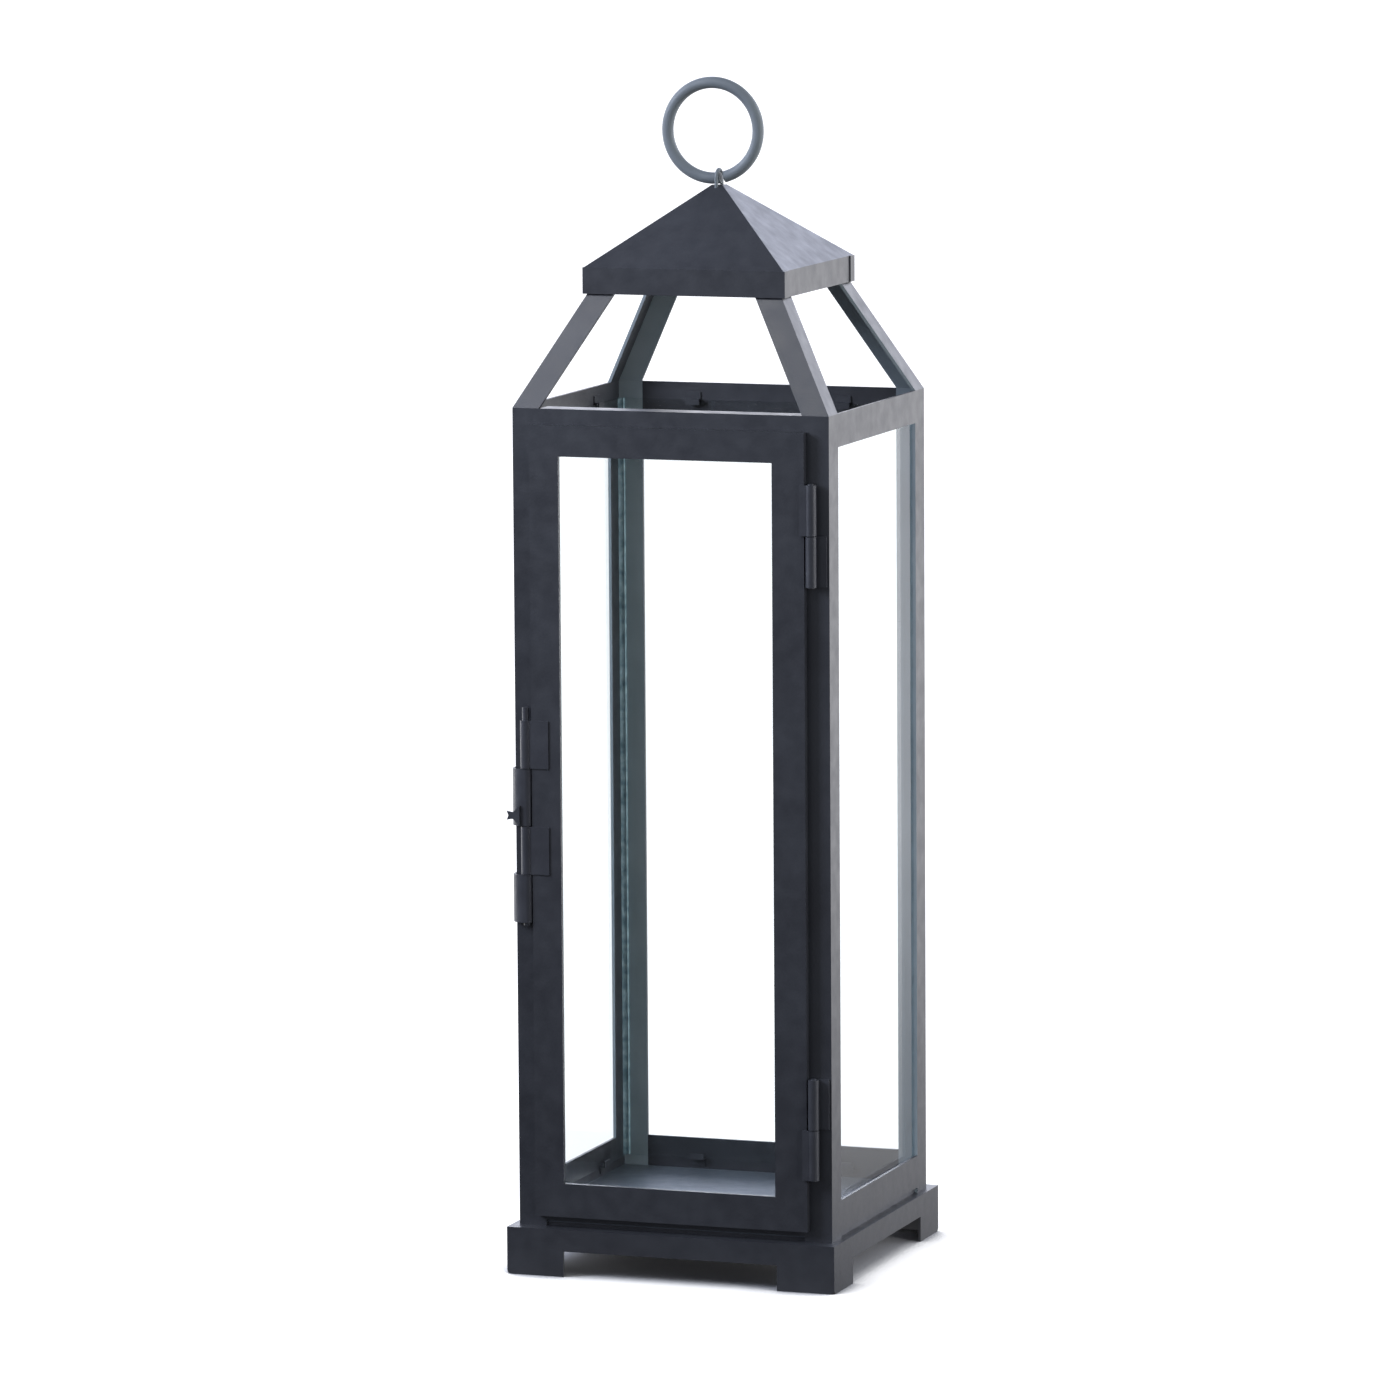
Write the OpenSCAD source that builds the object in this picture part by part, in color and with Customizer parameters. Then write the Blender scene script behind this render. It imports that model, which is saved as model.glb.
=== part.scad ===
// Rectangular candle lantern of folded sheet steel and clear glass, with a hinged door at the front,
// an open gallery under a pyramid roof and a round hanging ring.
// X runs along the front, +Y to the back and +Z up; the origin is the centre of the footprint.

/* [Base] */
// Width of the base along the front
base_w = 137; // [135:0.5:140]
// Depth of the base
base_d = 133.5; // [132:0.5:136]
// Height of the base, from the feet to the ledge that the posts stand on
base_h = 19; // [17:0.5:22]
// Width of a foot seen from the front
foot_w = 23.8; // [20:0.2:28]
// Width of a foot seen from the side
foot_d = 23.4; // [20:0.2:28]
// Height of the notches between the feet
notch_h = 10.3; // [8:0.1:12]
// Length of the lapped tab inside each corner of the base
tab_l = 13.7; // [8:0.1:16]
// Radius of the rounded toe at the outer bottom corner of a foot
toe_r = 2; // [1:0.5:3]
// Height of the raised floor above the ledge that the posts stand on
deck_h = 2.5; // [2:0.1:3.5]

/* [Body] */
// Width of the glazed body
body_w = 131; // [130:0.5:132]
// Depth of the glazed body
body_d = 120.2; // [119:0.2:121]
// Height of the corner posts
post_h = 326; // [320:1:332]
// Flange width of the corner angles
post_flange = 11.4; // [10:0.2:12]
// Height of the rails between the posts
rail_h = 13; // [11:0.1:13.2]
// Height of the sill behind the foot of the door
sill_h = 8; // [6:0.1:8.5]
// Width of the inward flange on the front top rail
rail_flange = 9.4; // [7:0.2:10]
// Gap between the ledge of the base and the bottom rails
rail_gap = 2.2; // [1.8:0.1:2.4]
// Thickness of the frame sheet
sheet = 1.2; // [1:0.1:1.4]

/* [Roof] */
// Height of the open gallery between the posts and the eaves
gallery_h = 44; // [40:1:48]
// Flange width of the gallery struts
strut_flange = 11; // [9:0.2:12]
// Width of the roof at the eaves
eave_w = 83; // [80:0.5:86]
// Depth of the roof at the eaves
eave_d = 86.4; // [84:0.2:88]
// Height of the upright band round the eaves
eave_h = 10.4; // [9:0.2:12]
// Rise of the roof from the eaves to its point
roof_rise = 32.1; // [28:0.1:36]
// Thickness of the roof sheet
roof_sheet = 1; // [0.8:0.1:1.2]

/* [Ring] */
// Outside diameter of the hanging ring
ring_od = 42.4; // [38:0.2:48]
// Wire diameter of the hanging ring
ring_wire = 4.6; // [4:0.1:5]
// Sideways lean of the ring in its eye, in degrees
ring_lean = 7.5; // [0:0.5:8]
// Wire diameter of the eye
eye_wire = 1.4; // [1.2:0.1:1.8]

/* [Door] */
// Width of the door
door_w = 113.8; // [113:0.2:114.4]
// Distance of the door to the left of the middle
door_shift = 0.6; // [0:0.1:1]
// Height of the door
door_h = 315.2; // [310:0.2:318]
// Gap between the floor and the door
door_lift = 4.5; // [3:0.1:6]
// Depth of the folded door frame
door_t = 3.1; // [2.8:0.1:3.4]
// Face width of the left stile, on the latch side
stile_left = 12.1; // [10:0.1:14]
// Face width of the right stile, on the hinge side
stile_right = 13.2; // [11:0.1:15]
// Face width of the top rail of the door
door_rail_top_h = 12.1; // [10:0.1:14]
// Face width of the bottom rail of the door
door_rail_bottom_h = 13.5; // [11:0.1:16]

/* [Glass] */
// Thickness of the panes
glass_t = 2; // [1.8:0.1:2.4]
// Length of a glazing clip along the pane
clip_l = 6; // [5:0.5:10]

/* [Hinges and latch] */
// Height of the middle of the upper hinge
hinge_upper_z = 298.4; // [290:0.2:306]
// Height of the middle of the lower hinge
hinge_lower_z = 64.3; // [58:0.2:80]
// Length of one hinge knuckle
knuckle_l = 20; // [16:0.5:24]
// Diameter of the hinge pins
pin_d = 2.4; // [2:0.1:2.6]
// Diameter of the latch rod
rod_d = 2.8; // [2.4:0.1:3]
// Height of the lower end of the lower latch hook
latch_z = 141.2; // [130:0.2:150]
// Height of the lower hook and of each guide of the latch
latch_l = 19; // [17:0.2:20]
// Height of the upper hook, which carries the lever
latch_long_l = 22.6; // [20:0.2:24]

/* [Hidden] */
$fn = 64;

paint = "#3b3e45";
steel = "#5a5e66";
glass = [0.75, 0.88, 0.86, 0.35];

// Heights of the frame, from the floor up
frame_top = base_h + post_h;
eave_z = frame_top + gallery_h;
slope_z = eave_z + eave_h;
apex_z = slope_z + roof_rise;

// Clearances between pieces that move on each other
gap = 0.3;
pin_play = 0.05;

// Base and frame details
base_sheet = 1;
tab_lift = 0.6;
far = 400;
strut_tab_h = 8;
strut_inset = 0.1;
strut_spare = 4;
eave_tab_l = 5;
eave_tab_t = 0.5;

// The point of the roof is flattened and filled, and the eye stands astride it with the ring in it
point_cut = 1.8;
point_fill = 1.2;
roof_top_z = apex_z - point_cut;
eye_play = 0.3;
eye_r = ring_wire / 2 + eye_play + eye_wire / 2;
eye_leg_l = 9;
ring_r = (ring_od - ring_wire) / 2;
ring_clear = 0.4;
pivot_z = roof_top_z + ring_clear + ring_wire / 2;
ring_split_deg = 5;
ring_split_at = 5;

// Door outline and glazing
door_front = -body_d / 2 - gap - door_t;
door_sheet = 1;
door_l = -door_w / 2 - door_shift;
door_r = door_w / 2 - door_shift;
door_z0 = base_h + door_lift;
door_z1 = door_z0 + door_h;
door_outer = corners(door_l, door_r, door_z0, door_z1);
window_l = door_l + stile_left;
window_r = door_r - stile_right;
window_b = door_z0 + door_rail_bottom_h;
window_t = door_z1 - door_rail_top_h;
window = corners(window_l, window_r, window_b, window_t);
hem_w = 7;
hem = corners(window_l - hem_w, window_r + hem_w, window_b - hem_w, window_t + hem_w);
glass_lap = 3.5;
hem_back = door_front + 2 * door_sheet;

// Fixed panes stand behind the post flanges, on clips that are soldered to the rails
pane_end = 7;
pane_corner = 2.6;
pane_gap = 0.5;
pane_z0 = base_h + pane_end;
pane_z1 = frame_top - pane_end;
pane_half_d = body_d / 2 - pane_corner;
pane_half_w = body_w / 2 - sheet - glass_t - pane_gap;
clip_t = 0.5;
clip_foot = 3.2;
clip_lip = 2;
clip_spread = 32;
clip_from_corner = 45;

// Hinge and latch axes stand the same distance off the edges of the door and off the face of the posts
axis_off = 2.6;
axis_y = -body_d / 2 - axis_off;
hinge_x = door_r + axis_off;
latch_x = door_l - axis_off;
hinge_sheet = 1;
hinge_r = pin_d / 2 + hinge_sheet;
hinge_post_leaf_w = 5.8;
hinge_door_lap = 1.6;
pin_end = 0.4;
hook_sheet = 0.8;
rod_r = rod_d / 2;
rod_below = 1.2;
rod_above = 5.2;
guide_leaf_w = 7.2;
guide_leaf_t = 0.5;
hook_bend = 5.4;
hook_clear = 0.35;
hook_reach = 3.2;

// Finger lever: it tapers from a flared root on the upper hook to a split tip
lever_t = 1;
lever_tip_x = -base_w / 2 + 1.2;
lever_root_x = latch_x - 1.9;
lever_up = 4.2;
lever_half = 1.4;
lever_tip_half = 1.8;
lever_split = 0.7;
lever_neck = 1.8;
lever_flare = [1.4, 2.6];
lever_root_half = 4;

function corners(l, r, b, t) = [[l, b], [r, b], [r, t], [l, t]];
// Level of the lower end of latch piece n, counted upwards: hook, guide, long hook, guide and top
function latch_level(n) = latch_z + n * (latch_l + gap) + (n > 2 ? latch_long_l - latch_l : 0);

// Moves a piece that is drawn at the front left corner to another corner
module at_corner(right, rear) {
    mirror([right ? 1 : 0, 0, 0])
        mirror([0, rear ? 1 : 0, 0])
            children();
}

// Plate standing parallel to the front, from y_front back over its thickness
module upright_plate(y_front, t) {
    translate([0, y_front + t, 0])
        rotate([90, 0, 0])
            linear_extrude(t)
                children();
}

// Upright angle with its outer corner on the Z axis
module angle_bar(l, flange) {
    linear_extrude(l)
        polygon([[0, 0], [flange, 0], [flange, sheet], [sheet, sheet], [sheet, flange], [0, flange]]);
}

/* Base */

// Skirt of the base seen face on, with a notch between two feet and rounded toes
module skirt(l, foot) {
    difference() {
        translate([-l / 2, 0]) square([l, base_h - base_sheet]);
        translate([-l / 2 + foot, -1]) square([l - 2 * foot, notch_h + 1]);
        for (side = [-1, 1])
            difference() {
                translate([side * l / 2 - toe_r, -1]) square([2 * toe_r, toe_r + 1]);
                translate([side * (l / 2 - toe_r), toe_r]) circle(toe_r);
            }
    }
}

// Block centred on the origin in plan
module block(w, d, z, h) {
    translate([-w / 2, -d / 2, z]) cube([w, d, h]);
}

// Pressed tray: its raised floor fits inside the posts, and leaves a ledge for them all round
module base_tray() {
    deck_w = body_w - 2 * sheet;
    deck_d = body_d - 2 * sheet;
    under = 2 * base_sheet;
    color(paint) union() {
        difference() {
            union() {
                block(base_w, base_d, base_h - base_sheet, base_sheet);
                block(deck_w, deck_d, base_h - base_sheet, base_sheet + deck_h);
            }
            block(deck_w - under, deck_d - under, base_h - under, deck_h + base_sheet);
        }
        for (turn = [0, 180]) {
            rotate([0, 0, turn]) upright_plate(-base_d / 2, base_sheet) skirt(base_w, foot_w);
            rotate([0, 0, turn + 90]) upright_plate(-base_w / 2, base_sheet) skirt(base_d, foot_d);
        }
        for (right = [false, true])
            for (rear = [false, true])
                at_corner(right, rear)
                    translate([-base_w / 2 + base_sheet, -base_d / 2 + base_sheet, tab_lift])
                        cube([base_sheet, tab_l, base_h - base_sheet - tab_lift]);
    }
}

/* Frame */

module post(right, rear) {
    color(paint)
        at_corner(right, rear)
            translate([-body_w / 2, -body_d / 2, base_h])
                angle_bar(post_h, post_flange);
}

// Flat rail between two posts, along the front of a body that is "reach" deep on each side
module rail(span, reach, z, h) {
    l = span - 2 * post_flange;
    color(paint) translate([-l / 2, -reach, z]) cube([l, sheet, h]);
}

module top_rail(span, reach) {
    rail(span, reach, frame_top - rail_h, rail_h);
}

// The front top rail is an angle, with its flange on top
module top_rail_front() {
    l = body_w - 2 * post_flange;
    color(paint) union() {
        top_rail(body_w, body_d / 2);
        translate([-l / 2, -body_d / 2, frame_top - sheet]) cube([l, rail_flange, sheet]);
    }
}

module bottom_rail(span, reach, h) {
    rail(span, reach, base_h + rail_gap, h);
}

// One sloping flange of a strut, drawn in its own plane and cut level later
module strut_plate(half_w, half_d, run_w, run_d) {
    slope_l = norm([run_d, gallery_h]);
    shift = run_w * strut_spare / slope_l;
    translate([0, -half_d, frame_top])
        rotate([atan2(gallery_h, run_d), 0, 0])
            translate([0, 0, -sheet])
                linear_extrude(sheet)
                    polygon([
                        [-half_w - shift, -strut_spare],
                        [-half_w - shift + strut_flange, -strut_spare],
                        [-half_w + run_w + shift + strut_flange, slope_l + strut_spare],
                        [-half_w + run_w + shift, slope_l + strut_spare]
                    ]);
}

// Sloping angle from the head of a post to the inside of the eaves, with an upright tab on top
module strut(right, rear) {
    top_w = eave_w / 2 - roof_sheet;
    top_d = eave_d / 2 - roof_sheet;
    run_w = body_w / 2 - top_w + strut_inset;
    run_d = body_d / 2 - top_d + strut_inset;
    color(paint)
        at_corner(right, rear) {
            difference() {
                union() {
                    strut_plate(body_w / 2, body_d / 2, run_w, run_d);
                    mirror([1, -1, 0]) strut_plate(body_d / 2, body_w / 2, run_d, run_w);
                }
                block(far, far, frame_top - far, far);
                block(far, far, eave_z, far);
            }
            translate([-top_w, -top_d, eave_z]) angle_bar(strut_tab_h, strut_flange);
        }
}

/* Roof */

// Pyramid that stands on the eaves
module pyramid(w, d, rise) {
    translate([0, 0, slope_z])
        intersection() {
            rotate([90, 0, 0])
                linear_extrude(d, center = true)
                    polygon([[-w / 2, 0], [w / 2, 0], [0, rise]]);
            rotate([90, 0, 90])
                linear_extrude(w, center = true)
                    polygon([[-d / 2, 0], [d / 2, 0], [0, rise]]);
        }
}

module roof_cap() {
    inner_w = eave_w - 2 * roof_sheet;
    inner_d = eave_d - 2 * roof_sheet;
    color(paint) union() {
        difference() {
            pyramid(eave_w, eave_d, roof_rise);
            difference() {
                pyramid(inner_w, inner_d, roof_rise * inner_w / eave_w);
                block(far, far, roof_top_z - point_fill, far);
            }
            block(far, far, roof_top_z, far);
            eye_legs();
        }
        difference() {
            block(eave_w, eave_d, eave_z, eave_h);
            block(inner_w, inner_d, eave_z - 1, eave_h + 2);
        }
        for (right = [false, true])
            for (rear = [false, true])
                at_corner(right, rear)
                    translate([-eave_w / 2 - eave_tab_t, -eave_d / 2, eave_z])
                        cube([2 * eave_tab_t, eave_tab_l, eave_h]);
    }
}

// Legs of the eye, which pass through the roof on each side of its point
module eye_legs() {
    for (side = [-1, 1])
        translate([0, side * eye_r, pivot_z - eye_leg_l])
            cylinder(h = eye_leg_l, d = eye_wire);
}

module ring_eye() {
    color(steel) union() {
        eye_legs();
        translate([0, 0, pivot_z])
            rotate([90, 0, 90])
                rotate_extrude(angle = 180)
                    translate([eye_r, 0]) circle(d = eye_wire);
    }
}

module hanging_ring() {
    color(paint)
        translate([-ring_r * sin(ring_lean), 0, pivot_z + ring_r * cos(ring_lean)])
            rotate([90, 0, 0])
                rotate([0, 0, 270 + ring_lean + ring_split_at + ring_split_deg / 2])
                    rotate_extrude(angle = 360 - ring_split_deg)
                        translate([ring_r, 0]) circle(d = ring_wire);
}

/* Glazing */

// Clip seen end on: its foot is soldered at the left, and its lip holds a pane edge that starts at x = 0
module clip_profile() {
    polygon([
        [-clip_foot, 0], [0, 0], [0, glass_t], [clip_lip, glass_t], [clip_lip, glass_t + clip_t],
        [-clip_t, glass_t + clip_t], [-clip_t, clip_t], [-clip_foot, clip_t]
    ]);
}

// Clips at the foot and the head of a pane that stands against the inside of a wall "reach" away
module pane_clips(reach) {
    color(steel)
        translate([0, -reach + sheet, 0])
            for (x = [-clip_spread, clip_spread]) {
                translate([x - clip_l / 2, 0, pane_z0])
                    rotate([90, 0, 90]) linear_extrude(clip_l) rotate(90) mirror([0, 1]) clip_profile();
                translate([x - clip_l / 2, 0, pane_z1])
                    rotate([90, 0, 90]) linear_extrude(clip_l) rotate(-90) clip_profile();
            }
}

module side_pane() {
    color(glass)
        translate([-pane_half_d, -body_w / 2 + sheet, pane_z0])
            cube([2 * pane_half_d, glass_t, pane_z1 - pane_z0]);
}

module rear_pane() {
    color(glass)
        translate([-pane_half_w, -body_d / 2 + sheet, pane_z0])
            cube([2 * pane_half_w, glass_t, pane_z1 - pane_z0]);
}

module door_glass() {
    color(glass)
        translate([window_l - glass_lap, hem_back, window_b - glass_lap])
            cube([window_r - window_l + 2 * glass_lap, glass_t, window_t - window_b + 2 * glass_lap]);
}

module door_glass_clips() {
    color(steel)
        translate([0, hem_back, 0]) {
            for (z = [window_b + clip_from_corner, window_t - clip_from_corner]) {
                translate([window_l - glass_lap, 0, z]) linear_extrude(clip_l) clip_profile();
                translate([window_r + glass_lap, 0, z]) linear_extrude(clip_l) mirror([1, 0]) clip_profile();
            }
            for (x = [-clip_spread, clip_spread])
                translate([x - clip_l / 2, 0, window_b - glass_lap])
                    rotate([90, 0, 90]) linear_extrude(clip_l) rotate(90) mirror([0, 1]) clip_profile();
        }
}

/* Door */

// Mitred strip between two outlines; side 0 is the bottom, 1 the right, 2 the top and 3 the left
module mitred_side(outer, inner, side) {
    next = (side + 1) % 4;
    polygon([outer[side], outer[next], inner[next], inner[side]]);
}

module door_side(side) {
    color(paint) union() {
        upright_plate(door_front, door_sheet) mitred_side(door_outer, window, side);
        upright_plate(door_front + door_sheet, door_sheet) mitred_side(hem, window, side);
        children();
    }
}

// Folded outer edge of the door, behind its face
module door_lip(x, z, l_x, l_z) {
    translate([x, door_front + door_sheet, z]) cube([l_x, door_t - door_sheet, l_z]);
}

module door_rail(side, z) {
    door_side(side) door_lip(door_l, z, door_w, door_sheet);
}

module door_stile(side, x) {
    door_side(side) door_lip(x, door_z0 + door_sheet, door_sheet, door_h - 2 * door_sheet);
}

/* Hinges */

// Rolled knuckle on the hinge axis, with its leaf and a bore for the pin
module knuckle(z, bore_r) {
    difference() {
        union() {
            translate([hinge_x, axis_y, z]) cylinder(h = knuckle_l - gap / 2, r = hinge_r);
            translate([0, 0, z]) children();
        }
        translate([hinge_x, axis_y, z - 1]) cylinder(h = knuckle_l + 2, r = bore_r);
    }
}

module post_leaf(z) {
    color(steel)
        knuckle(z, pin_d / 2)
            translate([hinge_x, -body_d / 2 - hinge_sheet, 0])
                cube([hinge_post_leaf_w, hinge_sheet, knuckle_l - gap / 2]);
}

module door_leaf(z) {
    color(steel)
        knuckle(z, pin_d / 2 + pin_play)
            translate([door_r - hinge_door_lap, door_front - hinge_sheet, 0])
                cube([axis_off + hinge_door_lap, hinge_sheet, knuckle_l - gap / 2]);
}

module hinge_pin(z_middle) {
    l = 2 * (knuckle_l + pin_end);
    color(steel) translate([hinge_x, axis_y, z_middle - l / 2]) cylinder(h = l, d = pin_d);
}

/* Latch */

// Guide on the door: a rolled loop round the rod, with a leaf on the face of the stile
module latch_guide(z) {
    guide_r = rod_r + pin_play + hook_sheet;
    color(steel)
        difference() {
            union() {
                translate([latch_x, axis_y, z]) cylinder(h = latch_l, r = guide_r);
                translate([latch_x, door_front - guide_leaf_t, z])
                    cube([axis_off + guide_leaf_w, guide_leaf_t, latch_l]);
            }
            translate([latch_x, axis_y, z - 1]) cylinder(h = latch_l + 2, r = rod_r + pin_play);
        }
}

// Hook fixed on the rod: it runs left past the corner of the post and bends back along its side
module latch_hook(z, h) {
    hook_r = rod_r + hook_sheet;
    side_x = -body_w / 2 - hook_clear - hook_sheet - latch_x;
    bend_x = side_x + hook_bend;
    bend_y = -hook_r + hook_bend;
    side_l = -body_d / 2 + hook_reach - axis_y - bend_y;
    color(paint)
        translate([latch_x, axis_y, z])
            difference() {
                union() {
                    cylinder(h = h, r = hook_r);
                    translate([bend_x, -hook_r, 0]) cube([-bend_x, hook_sheet, h]);
                    translate([side_x, bend_y, 0]) cube([hook_sheet, side_l, h]);
                    translate([bend_x, bend_y, 0])
                        rotate([0, 0, 180])
                            rotate_extrude(angle = 90)
                                translate([hook_bend - hook_sheet, 0]) square([hook_sheet, h]);
                }
                translate([0, 0, -1]) cylinder(h = h + 2, r = rod_r);
            }
}

module latch_lever() {
    middle = latch_level(2) + lever_up;
    color(steel)
        upright_plate(axis_y - rod_r - hook_sheet - lever_t, lever_t)
            translate([0, middle])
                polygon([
                    [lever_root_x, -lever_root_half], [lever_root_x - lever_flare[0], -lever_flare[1]],
                    [lever_root_x - lever_flare[1], -lever_half], [lever_tip_x + lever_neck, -lever_half],
                    [lever_tip_x, -lever_tip_half], [lever_tip_x + lever_split, 0],
                    [lever_tip_x, lever_tip_half], [lever_tip_x + lever_neck, lever_half],
                    [lever_root_x - lever_flare[1], lever_half],
                    [lever_root_x - lever_flare[0], lever_flare[1]], [lever_root_x, lever_root_half]
                ]);
}

module latch_rod() {
    color(steel)
        translate([latch_x, axis_y, latch_z - rod_below])
            cylinder(h = latch_level(4) - gap - latch_z + rod_below + rod_above, r = rod_r);
}

base_tray();
post(false, false);  // post_front_left
post(true, false);  // post_front_right
post(false, true);  // post_rear_left
post(true, true);  // post_rear_right
bottom_rail(body_w, body_d / 2, sill_h);  // bottom_rail_front
rotate([0, 0, 180]) bottom_rail(body_w, body_d / 2, rail_h);  // bottom_rail_rear
rotate([0, 0, -90]) bottom_rail(body_d, body_w / 2, rail_h);  // bottom_rail_left
rotate([0, 0, 90]) bottom_rail(body_d, body_w / 2, rail_h);  // bottom_rail_right
top_rail_front();
rotate([0, 0, 180]) top_rail(body_w, body_d / 2);  // top_rail_rear
rotate([0, 0, -90]) top_rail(body_d, body_w / 2);  // top_rail_left
rotate([0, 0, 90]) top_rail(body_d, body_w / 2);  // top_rail_right
strut(false, false);  // strut_front_left
strut(true, false);  // strut_front_right
strut(false, true);  // strut_rear_left
strut(true, true);  // strut_rear_right
roof_cap();
ring_eye();
hanging_ring();
rotate([0, 0, -90]) side_pane();  // glass_left
rotate([0, 0, 90]) side_pane();  // glass_right
rotate([0, 0, 180]) rear_pane();  // glass_rear
rotate([0, 0, -90]) pane_clips(body_w / 2);  // glass_clips_left
rotate([0, 0, 90]) pane_clips(body_w / 2);  // glass_clips_right
rotate([0, 0, 180]) pane_clips(body_d / 2);  // glass_clips_rear
door_stile(3, door_l);  // door_stile_left
door_stile(1, door_r - door_sheet);  // door_stile_right
door_rail(2, door_z1 - door_sheet);  // door_rail_top
door_rail(0, door_z0);  // door_rail_bottom
door_glass();
door_glass_clips();
post_leaf(hinge_upper_z - knuckle_l);  // hinge_upper_post_leaf
door_leaf(hinge_upper_z + gap / 2);  // hinge_upper_door_leaf
hinge_pin(hinge_upper_z);  // hinge_upper_pin
post_leaf(hinge_lower_z + gap / 2);  // hinge_lower_post_leaf
door_leaf(hinge_lower_z - knuckle_l);  // hinge_lower_door_leaf
hinge_pin(hinge_lower_z);  // hinge_lower_pin
latch_guide(latch_level(3));  // latch_guide_upper
latch_guide(latch_level(1));  // latch_guide_lower
latch_rod();
latch_hook(latch_level(2), latch_long_l);  // latch_hook_upper
latch_hook(latch_level(0), latch_l);  // latch_hook_lower
latch_lever();
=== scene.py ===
import math

import bpy
from mathutils import Matrix, Vector


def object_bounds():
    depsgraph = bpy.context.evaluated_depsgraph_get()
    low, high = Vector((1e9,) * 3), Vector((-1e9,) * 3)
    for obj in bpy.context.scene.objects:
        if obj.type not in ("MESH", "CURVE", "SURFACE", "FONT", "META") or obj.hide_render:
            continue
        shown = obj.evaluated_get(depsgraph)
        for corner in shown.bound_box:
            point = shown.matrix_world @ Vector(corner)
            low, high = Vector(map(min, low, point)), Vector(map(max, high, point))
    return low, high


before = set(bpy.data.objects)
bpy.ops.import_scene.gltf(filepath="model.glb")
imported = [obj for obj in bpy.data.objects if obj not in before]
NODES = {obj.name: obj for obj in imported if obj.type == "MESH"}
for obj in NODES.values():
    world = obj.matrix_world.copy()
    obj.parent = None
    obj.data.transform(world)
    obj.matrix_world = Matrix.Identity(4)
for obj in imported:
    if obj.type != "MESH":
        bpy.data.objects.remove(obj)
cad_bounds = [list(corner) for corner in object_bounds()]
MM = 0.001

# ---------------------------------------------------------------------- values

# Camera: it looks at the lantern from the right of its front and a little above
AZIMUTH, ELEVATION, ROLL = (math.radians(angle) for angle in (19.315, 7.441, -0.343))
CAMERA_DISTANCE = 3.2641
CAMERA_LENS = 210.6
CAMERA_SHIFT = (-0.0157, -0.0216)
CAMERA_REACH = 100.0

# Colours of the light that the parts of the room send out
ROOM_BACK_LOW = (1.6, 1.6, 1.66)
ROOM_BACK_MID = (2.5, 2.5, 2.6)
ROOM_BACK_HIGH = (2.1, 2.25, 2.8)
ROOM_FRONT = (0.3, 0.33, 0.41)
ROOM_TOP = (0.08, 0.09, 0.12)
WHITE = (1.0, 1.0, 1.0)
BLUISH = (0.86, 0.93, 1.15)

# Back of the room, by the upward share of the direction: 0 is level and 1 is straight up
ROOM_BACK = (
    (0.0, ROOM_BACK_LOW),
    (0.06, ROOM_BACK_MID),
    (0.2, ROOM_BACK_MID),
    (0.3, ROOM_BACK_HIGH),
    (0.5, ROOM_BACK_HIGH),
    (0.8, ROOM_TOP),
)
# The room changes from its front to its back between these backward shares of the direction
ROOM_FRONT_ENDS, ROOM_BACK_STARTS = -0.4, 0.5

# Floor that the camera sees, and its own glow: out where less than the first share of the space within reach
# is open, and full where more than the second share is, which paints a contact shadow near the lantern
FLOOR_SIZE = 60.0
FLOOR_SHADES = ((0.3, 0.3, 0.305), (0.34, 0.34, 0.345))
FLOOR_CLOUD_SCALE = 3.0
FLOOR_ROUGHNESS = 0.8
FLOOR_SHINE = 0.1
FLOOR_GLOW = 1.0
FLOOR_SHADE_REACH = 40 * MM
FLOOR_SHADE_RAYS = 8
FLOOR_OPEN_SHARES = (0.5, 0.76)

# Table that lights the lantern from below: its glow goes by the distance from the lantern, and by the depth
# behind its middle
TABLE_SIZE = 8.0
TABLE_DROP = 1 * MM
TABLE_DISTANCES = (0.12, 1.2)
TABLE_DISTANCE_GLOW = (0.3, 1.0)
TABLE_DEPTHS = (-0.15, 0.1)
TABLE_DEPTH_GLOW = (0.05, 1.0)

# Softboxes: place, height that they aim at on the lantern's axis, width and height, power in watts, colour,
# and whether paint and glass mirror them
SOFTBOXES = {
    "softbox_front_left": ((-0.95, -0.62, 0.8), 0.38, (0.4, 0.5), 16.0, BLUISH, True),
    "softbox_right": ((2.0, 0.9, 0.9), 0.25, (1.2, 1.6), 11.0, WHITE, True),
    "softbox_front_right": ((1.5, -0.55, 0.35), 0.25, (0.3, 1.0), 18.0, WHITE, False),
    "softbox_front_top": ((-0.45, -0.85, 1.3), 0.35, (0.5, 0.3), 3.5, WHITE, True),
    "softbox_left": ((-1.8, 0.35, 0.6), 0.25, (0.8, 1.2), 10.0, WHITE, True),
}

# Paint: darkest and lightest shade of its clouds, and smoothest and roughest spots
FRAME_SHADES = ((0.019, 0.020, 0.024), (0.026, 0.028, 0.033))
HARDWARE_SHADES = ((0.020, 0.021, 0.026), (0.030, 0.032, 0.038))
CLIP_SHADES = ((0.02, 0.022, 0.026), (0.03, 0.033, 0.038))
WIRE_SHADES = ((0.095, 0.11, 0.12), (0.13, 0.15, 0.16))
# Painted light: paler shades for the forward-facing faces of the rear posts and struts, where light falls on
# them
FORWARD_PAINTED_LIGHT_SHADES = ((0.19, 0.23, 0.25), (0.24, 0.28, 0.30))
# Painted sheen: paler, bluish shades for the tray's raised deck, standing in for the light that it mirrors
DECK_PAINTED_SHEEN_SHADES = ((0.062, 0.074, 0.088), (0.080, 0.094, 0.110))
SATIN = (0.36, 0.5)
DULL = (0.66, 0.8)
PAINT_IOR = 1.6
VARNISH_WEIGHT = 0.15
VARNISH_ROUGHNESS = 0.3
# Height that divides the skirt of the tray from its raised deck, which has a painted sheen
UNDER_DECK = 20.5 * MM
# Painted light: paler shades lie on faces that have more than this share of their normal forwards
FORWARD_SHARE = 0.5

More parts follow.
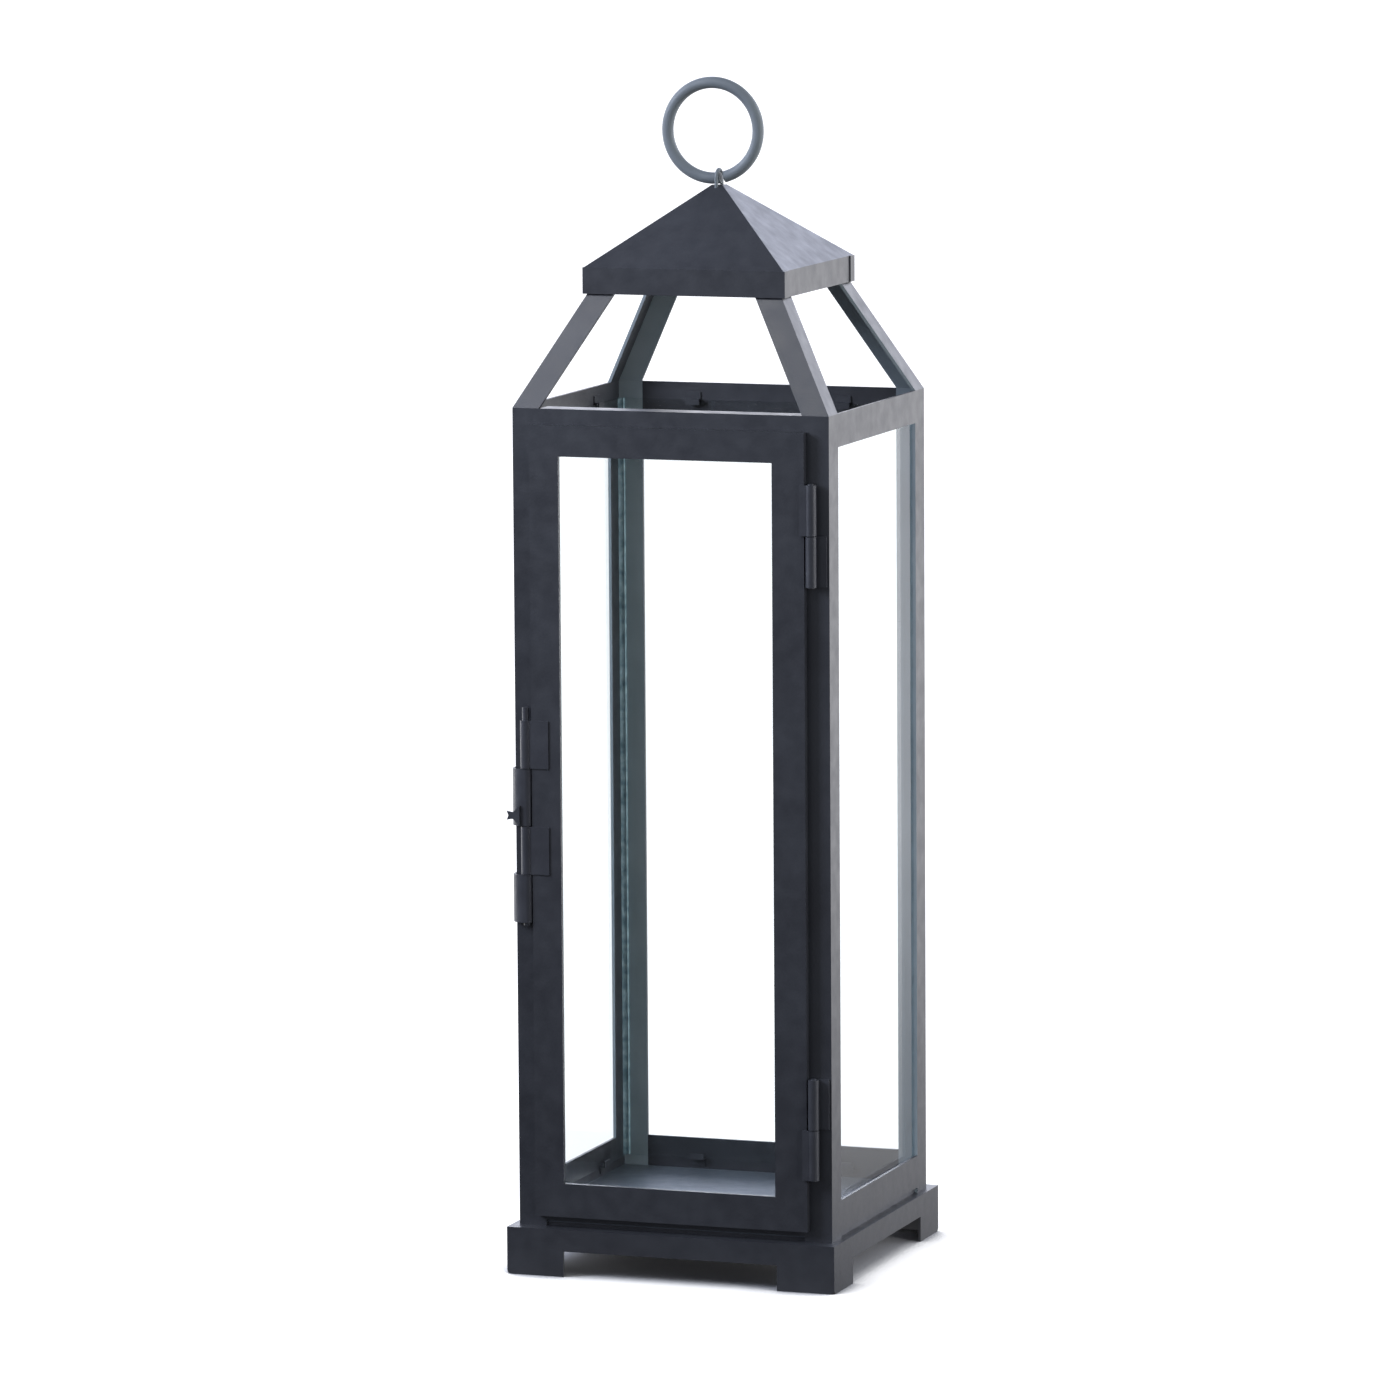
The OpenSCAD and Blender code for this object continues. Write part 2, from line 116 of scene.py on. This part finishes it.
# Texture scales, from broad to fine, and the depth and strength of the relief that two of them give
WAVE_SCALE = 14.0
CLOUD_SCALE = 38.0
DUST_SCALE = 160.0
GRAIN_SCALE = 260.0
PEEL_SCALE = 900.0
WAVE_DEPTH = 1.2 * MM
WAVE_STRENGTH = 0.15
PEEL_DEPTH = 0.05 * MM
PEEL_STRENGTH = 0.6
# Noise seldom leaves this range, so what follows it runs from the one value to the other
NOISE_RANGE = (0.3, 0.7)

# Glass: tint of what is seen through a pane, and the share that it mirrors straight on and at a grazing angle
GLASS_TINT = (0.988, 0.997, 0.994, 1.0)
GLASS_ROUGHNESS = 0.02
GLASS_MIRROR = (0.03, 0.95)
GRAZING_POWER = 5.0
# Cut edges of the panes, with a painted glow
CUT_SHADES = ((0.13, 0.21, 0.24), (0.36, 0.50, 0.55))
CUT_ROUGHNESS = 0.22
CUT_PAINTED_GLOW = 0.12
# A surface doesn't look along an axis if less than this share of its normal lies along it
AWAY_SHARE = 0.5

# Rounding of edges
SHEET_EDGE = 0.5 * MM
FITTING_EDGE = 0.25 * MM
GLASS_EDGE = 0.12 * MM
EDGE_SEGMENTS = 3
EDGE_ANGLE = math.radians(35)

# Sockets that have their names in common are told apart by their places
FIRST_SHADER, SECOND_SHADER = 1, 2
FIRST_COLOUR, SECOND_COLOUR, MIXED_COLOUR = 6, 7, 2

# ---------------------------------------------------------------- node helpers


def new_material(name):
    material = bpy.data.materials.new(name)
    material.use_nodes = True
    material.node_tree.nodes.clear()
    return material


def node(tree, kind, **settings):
    made = tree.nodes.new(kind)
    for key, value in settings.items():
        setattr(made, key, value)
    return made


def set_inputs(made, values):
    for socket, value in values.items():
        made.inputs[socket].default_value = value


def surface(tree, shader, output="ShaderNodeOutputMaterial"):
    tree.links.new(shader, node(tree, output).inputs["Surface"])


def coordinate(tree, kind):
    return node(tree, "ShaderNodeTexCoord").outputs[kind]


def ramp(tree, source, stops):
    made = node(tree, "ShaderNodeValToRGB")
    elements = made.color_ramp.elements
    while len(elements) < len(stops):
        elements.new(0.5)
    for element, (place, colour) in zip(elements, stops):
        element.position = place
        element.color = (*colour, 1.0)
    tree.links.new(source, made.inputs["Fac"])
    return made.outputs["Color"]


def two_shades(tree, source, shades, ends=NOISE_RANGE):
    return ramp(tree, source, tuple(zip(ends, shades)))


def noise(tree, scale, detail=3.0):
    made = node(tree, "ShaderNodeTexNoise")
    set_inputs(made, {"Scale": scale, "Detail": detail})
    tree.links.new(coordinate(tree, "Object"), made.inputs["Vector"])
    return made.outputs["Fac"]


def mapped(tree, source, ends, source_ends=NOISE_RANGE):
    """Runs between the two ends while the source runs between its own, and stays there beyond them."""
    made = node(tree, "ShaderNodeMapRange")
    set_inputs(made, {
        "From Min": source_ends[0], "From Max": source_ends[1], "To Min": ends[0], "To Max": ends[1],
    })
    tree.links.new(source, made.inputs["Value"])
    return made.outputs["Result"]


def bump(tree, height, distance, strength, below=None):
    made = node(tree, "ShaderNodeBump")
    set_inputs(made, {"Distance": distance, "Strength": strength})
    tree.links.new(height, made.inputs["Height"])
    if below:
        tree.links.new(below, made.inputs["Normal"])
    return made.outputs["Normal"]


def calculate(tree, operation, first, second=None):
    """Math on a socket, and on a number or another socket where the operation takes two."""
    made = node(tree, "ShaderNodeMath", operation=operation)
    tree.links.new(first, made.inputs[0])
    if isinstance(second, float):
        made.inputs[1].default_value = second
    elif second:
        tree.links.new(second, made.inputs[1])
    return made.outputs[0]


def along(tree, kind, axis):
    """The "Normal" or the "Object" place of the surface, measured along an axis of the object."""
    made = node(tree, "ShaderNodeVectorMath", operation="DOT_PRODUCT")
    made.inputs[1].default_value = axis
    tree.links.new(coordinate(tree, kind), made.inputs[0])
    return made.outputs["Value"]


def mix_shaders(tree, share, first, second):
    made = node(tree, "ShaderNodeMixShader")
    tree.links.new(share, made.inputs["Fac"])
    tree.links.new(first, made.inputs[FIRST_SHADER])
    tree.links.new(second, made.inputs[SECOND_SHADER])
    return made.outputs[0]


# ------------------------------------------------------------------- materials


def coat_with_painted_light(tree, coat, clouds, shades, kind, axis, least):
    """Paints light: puts paler shades where the "Normal" or "Object" place along the axis is over the least
    value.
    """
    both = node(tree, "ShaderNodeMix", data_type="RGBA")
    tree.links.new(calculate(tree, "GREATER_THAN", along(tree, kind, axis), least), both.inputs["Factor"])
    tree.links.new(coat, both.inputs[FIRST_COLOUR])
    tree.links.new(two_shades(tree, clouds, shades), both.inputs[SECOND_COLOUR])
    return both.outputs[MIXED_COLOUR]


def paint(name, shades, rough=SATIN, painted_light=None):
    """Paint on metal: fine orange peel, faint waviness of the sheet and a little dust, and painted light on
    some faces where asked.
    """
    material = new_material(name)
    tree = material.node_tree
    shader = node(tree, "ShaderNodeBsdfPrincipled")
    set_inputs(shader, {
        "IOR": PAINT_IOR, "Coat Weight": VARNISH_WEIGHT, "Coat Roughness": VARNISH_ROUGHNESS,
    })
    clouds = noise(tree, CLOUD_SCALE, detail=4.0)
    coat = two_shades(tree, clouds, shades)
    # Painted light: paler shades on some faces, standing in for light that falls there
    if painted_light:
        coat = coat_with_painted_light(tree, coat, clouds, *painted_light)
    tree.links.new(coat, shader.inputs["Base Color"])
    tree.links.new(mapped(tree, noise(tree, DUST_SCALE), rough), shader.inputs["Roughness"])
    sheet = bump(tree, noise(tree, WAVE_SCALE, detail=1.0), WAVE_DEPTH, WAVE_STRENGTH)
    skin = bump(tree, noise(tree, PEEL_SCALE, detail=2.0), PEEL_DEPTH, PEEL_STRENGTH, sheet)
    tree.links.new(skin, shader.inputs["Normal"])
    surface(tree, shader.outputs[0])
    return material


def looks_away(tree, axis):
    """1 where the surface doesn't look along the axis, either way, and 0 where it does."""
    share = calculate(tree, "ABSOLUTE", along(tree, "Normal", axis))
    return calculate(tree, "LESS_THAN", share, AWAY_SHARE)


def pane_face(tree):
    """Clear, and mirroring more the more slantwise it is seen."""
    clear = node(tree, "ShaderNodeBsdfTransparent")
    clear.inputs["Color"].default_value = GLASS_TINT
    gloss = node(tree, "ShaderNodeBsdfGlossy")
    gloss.inputs["Roughness"].default_value = GLASS_ROUGHNESS
    slant = calculate(tree, "POWER", node(tree, "ShaderNodeLayerWeight").outputs["Facing"], GRAZING_POWER)
    share = mapped(tree, slant, GLASS_MIRROR, (0.0, 1.0))
    return mix_shaders(tree, share, clear.outputs[0], gloss.outputs[0])


def pane_cut(tree):
    """Blue-green and streaked, with a painted glow that stands in for the light that the pane leads to its
    edge.
    """
    cut = node(tree, "ShaderNodeBsdfPrincipled")
    set_inputs(cut, {"Roughness": CUT_ROUGHNESS, "Emission Strength": CUT_PAINTED_GLOW})
    streaks = two_shades(tree, noise(tree, GRAIN_SCALE, detail=2.0), CUT_SHADES)
    tree.links.new(streaks, cut.inputs["Base Color"])
    tree.links.new(streaks, cut.inputs["Emission Color"])
    return cut.outputs[0]


def pane_glass(name, across):
    """Sheet glass whose faces look along the axis "across", with its upright cut edges in blue-green."""
    material = new_material(name)
    tree = material.node_tree
    upright_cut = calculate(tree, "MULTIPLY", looks_away(tree, across), looks_away(tree, (0.0, 0.0, 1.0)))
    surface(tree, mix_shaders(tree, upright_cut, pane_face(tree), pane_cut(tree)))
    return material


def plain_floor(name):
    """White paper on a lit table: it glows a little, except where something stands close over it, which
    paints a contact shadow there.
    """
    material = new_material(name)
    tree = material.node_tree
    shader = node(tree, "ShaderNodeBsdfPrincipled")
    set_inputs(shader, {
        "Roughness": FLOOR_ROUGHNESS, "Specular IOR Level": FLOOR_SHINE, "Emission Color": (*WHITE, 1.0),
    })
    paper = two_shades(tree, noise(tree, FLOOR_CLOUD_SCALE), FLOOR_SHADES, (0.0, 1.0))
    tree.links.new(paper, shader.inputs["Base Color"])
    # Painted contact shadow: the glow dims where something covers the floor close above
    painted_contact_shadow = node(tree, "ShaderNodeAmbientOcclusion", samples=FLOOR_SHADE_RAYS)
    painted_contact_shadow.inputs["Distance"].default_value = FLOOR_SHADE_REACH
    glow = mapped(tree, painted_contact_shadow.outputs["AO"], (0.0, FLOOR_GLOW), FLOOR_OPEN_SHARES)
    tree.links.new(glow, shader.inputs["Emission Strength"])
    surface(tree, shader.outputs[0])
    return material


def lit_table(name):
    """Table that is bright behind the lantern, and dim close to it and on the camera's side."""
    material = new_material(name)
    tree = material.node_tree
    place = coordinate(tree, "Object")
    distance = node(tree, "ShaderNodeVectorMath", operation="LENGTH")
    tree.links.new(place, distance.inputs[0])
    parts = node(tree, "ShaderNodeSeparateXYZ")
    tree.links.new(place, parts.inputs[0])
    far = mapped(tree, distance.outputs["Value"], TABLE_DISTANCE_GLOW, TABLE_DISTANCES)
    behind = mapped(tree, parts.outputs["Y"], TABLE_DEPTH_GLOW, TABLE_DEPTHS)
    light = node(tree, "ShaderNodeEmission")
    light.inputs["Color"].default_value = (*ROOM_BACK_LOW, 1.0)
    tree.links.new(calculate(tree, "MULTIPLY", far, behind), light.inputs["Strength"])
    surface(tree, light.outputs[0])
    return material


# Painted light: the rear posts and struts get paler shades on their forward-facing faces
FORWARD_PAINTED_LIGHT = (FORWARD_PAINTED_LIGHT_SHADES, "Normal", (0.0, -1.0, 0.0), FORWARD_SHARE)
# Painted sheen: the tray's raised deck gets paler, bluish shades
DECK_PAINTED_SHEEN = (DECK_PAINTED_SHEEN_SHADES, "Object", (0.0, 0.0, 1.0), UNDER_DECK)
FRAME_PAINT = paint("charcoal_frame_paint", FRAME_SHADES)
REAR_PAINT_WITH_PAINTED_LIGHT = paint("charcoal_paint_painted_light_in_front", FRAME_SHADES, painted_light=FORWARD_PAINTED_LIGHT)
TRAY_PAINT_WITH_PAINTED_SHEEN = paint("charcoal_paint_painted_sheen_deck", FRAME_SHADES, painted_light=DECK_PAINTED_SHEEN)
HARDWARE_PAINT = paint("charcoal_hardware_paint", HARDWARE_SHADES)
RING_PAINT = paint("grey_wire_paint", WIRE_SHADES, rough=DULL)
CLIP_PAINT = paint("charcoal_clip_paint", CLIP_SHADES)
GLASS_ACROSS_X = pane_glass("clear_glass_side", (1.0, 0.0, 0.0))
GLASS_ACROSS_Y = pane_glass("clear_glass_front", (0.0, 1.0, 0.0))

# --------------------------------------------------------------------- lantern


def material_of(name):
    if name in ("glass_left", "glass_right"):
        return GLASS_ACROSS_X
    if name in ("glass_rear", "door_glass"):
        return GLASS_ACROSS_Y
    if "clips" in name:
        return CLIP_PAINT
    if name in ("hanging_ring", "ring_eye"):
        return RING_PAINT
    if name.startswith(("hinge", "latch")):
        return HARDWARE_PAINT
    if name.startswith(("post_rear", "strut_rear")):
        return REAR_PAINT_WITH_PAINTED_LIGHT
    if name == "base_tray":
        return TRAY_PAINT_WITH_PAINTED_SHEEN
    return FRAME_PAINT


def edge_radius(name):
    """Radius of a piece's folds and arrises: widest on folded sheet, finest on the panes and their clips."""
    if name.startswith(("door_stile", "door_rail", "post", "roof", "base")):
        return SHEET_EDGE
    if name.startswith(("glass", "door_glass")):
        return GLASS_EDGE
    return FITTING_EDGE


def dress_cad_node(name, obj):
    """Gives a CAD node its material, and rounds its edges."""
    obj.data.materials.clear()
    obj.data.materials.append(material_of(name))
    bevel = obj.modifiers.new("rounded_edges", "BEVEL")
    bevel.width = edge_radius(name)
    bevel.segments = EDGE_SEGMENTS
    bevel.limit_method = "ANGLE"
    bevel.angle_limit = EDGE_ANGLE
    bevel.harden_normals = True


# ---------------------------------------------------------------------- studio


def add_camera():
    back = Vector((
        math.sin(AZIMUTH) * math.cos(ELEVATION),
        -math.cos(AZIMUTH) * math.cos(ELEVATION),
        math.sin(ELEVATION),
    ))
    right = Vector((math.cos(AZIMUTH), math.sin(AZIMUTH), 0.0))
    up = back.cross(right)
    turned = right * math.cos(ROLL) + up * math.sin(ROLL)
    upright = up * math.cos(ROLL) - right * math.sin(ROLL)
    data = bpy.data.cameras.new("camera")
    data.lens = CAMERA_LENS
    data.shift_x, data.shift_y = CAMERA_SHIFT
    data.clip_end = CAMERA_REACH
    camera = bpy.data.objects.new("camera", data)
    lantern_middle = Vector((0.0, 0.0, cad_bounds[1][2] / 2))
    aim = Matrix((turned, upright, back)).transposed().to_4x4()
    camera.matrix_world = Matrix.Translation(lantern_middle + back * CAMERA_DISTANCE) @ aim
    bpy.context.scene.collection.objects.link(camera)
    bpy.context.scene.camera = camera


def add_plane(name, size, material):
    bpy.ops.mesh.primitive_plane_add(size=size)
    plane = bpy.context.object
    plane.name = name
    plane.data.materials.append(material)
    return plane


def add_floor():
    """A white floor for the camera, and under it the table that lights the lantern from below."""
    floor = add_plane("studio_floor", FLOOR_SIZE, plain_floor("pale_floor"))
    floor.visible_diffuse = False
    floor.visible_glossy = False
    table = add_plane("studio_table", TABLE_SIZE, lit_table("lit_table"))
    table.location.z = -TABLE_DROP
    table.visible_camera = False
    table.visible_shadow = False


def add_surroundings():
    """A white studio: bright behind the lantern, dark above it and on the camera's side.
    The camera itself sees plain white."""
    world = bpy.data.worlds.new("studio")
    bpy.context.scene.world = world
    world.use_nodes = True
    tree = world.node_tree
    tree.nodes.clear()
    parts = node(tree, "ShaderNodeSeparateXYZ")
    tree.links.new(coordinate(tree, "Generated"), parts.inputs[0])
    front = mapped(tree, parts.outputs["Y"], (1.0, 0.0), (ROOM_FRONT_ENDS, ROOM_BACK_STARTS))
    colours = node(tree, "ShaderNodeMix", data_type="RGBA")
    tree.links.new(front, colours.inputs["Factor"])
    tree.links.new(ramp(tree, parts.outputs["Z"], ROOM_BACK), colours.inputs[FIRST_COLOUR])
    colours.inputs[SECOND_COLOUR].default_value = (*ROOM_FRONT, 1.0)
    room = node(tree, "ShaderNodeBackground")
    tree.links.new(colours.outputs[MIXED_COLOUR], room.inputs["Color"])
    white = node(tree, "ShaderNodeBackground")
    white.inputs["Color"].default_value = (*WHITE, 1.0)
    for_camera = node(tree, "ShaderNodeLightPath").outputs["Is Camera Ray"]
    both = mix_shaders(tree, for_camera, room.outputs[0], white.outputs[0])
    surface(tree, both, "ShaderNodeOutputWorld")


def add_softbox(name, place, aim_height, size, power, colour, mirrored):
    data = bpy.data.lights.new(name, "AREA")
    data.shape = "RECTANGLE"
    data.size, data.size_y = size
    data.energy = power
    data.color = colour
    light = bpy.data.objects.new(name, data)
    light.location = place
    light.rotation_mode = "QUATERNION"
    aim = Vector((0.0, 0.0, aim_height)) - Vector(place)
    light.rotation_quaternion = aim.to_track_quat("-Z", "Y")
    light.visible_camera = False
    light.visible_glossy = mirrored
    bpy.context.scene.collection.objects.link(light)


for node_name, node_object in NODES.items():
    dress_cad_node(node_name, node_object)
add_camera()
add_floor()
add_surroundings()
for softbox_name, softbox_values in SOFTBOXES.items():
    add_softbox(softbox_name, *softbox_values)
bpy.context.scene.view_settings.view_transform = "Standard"
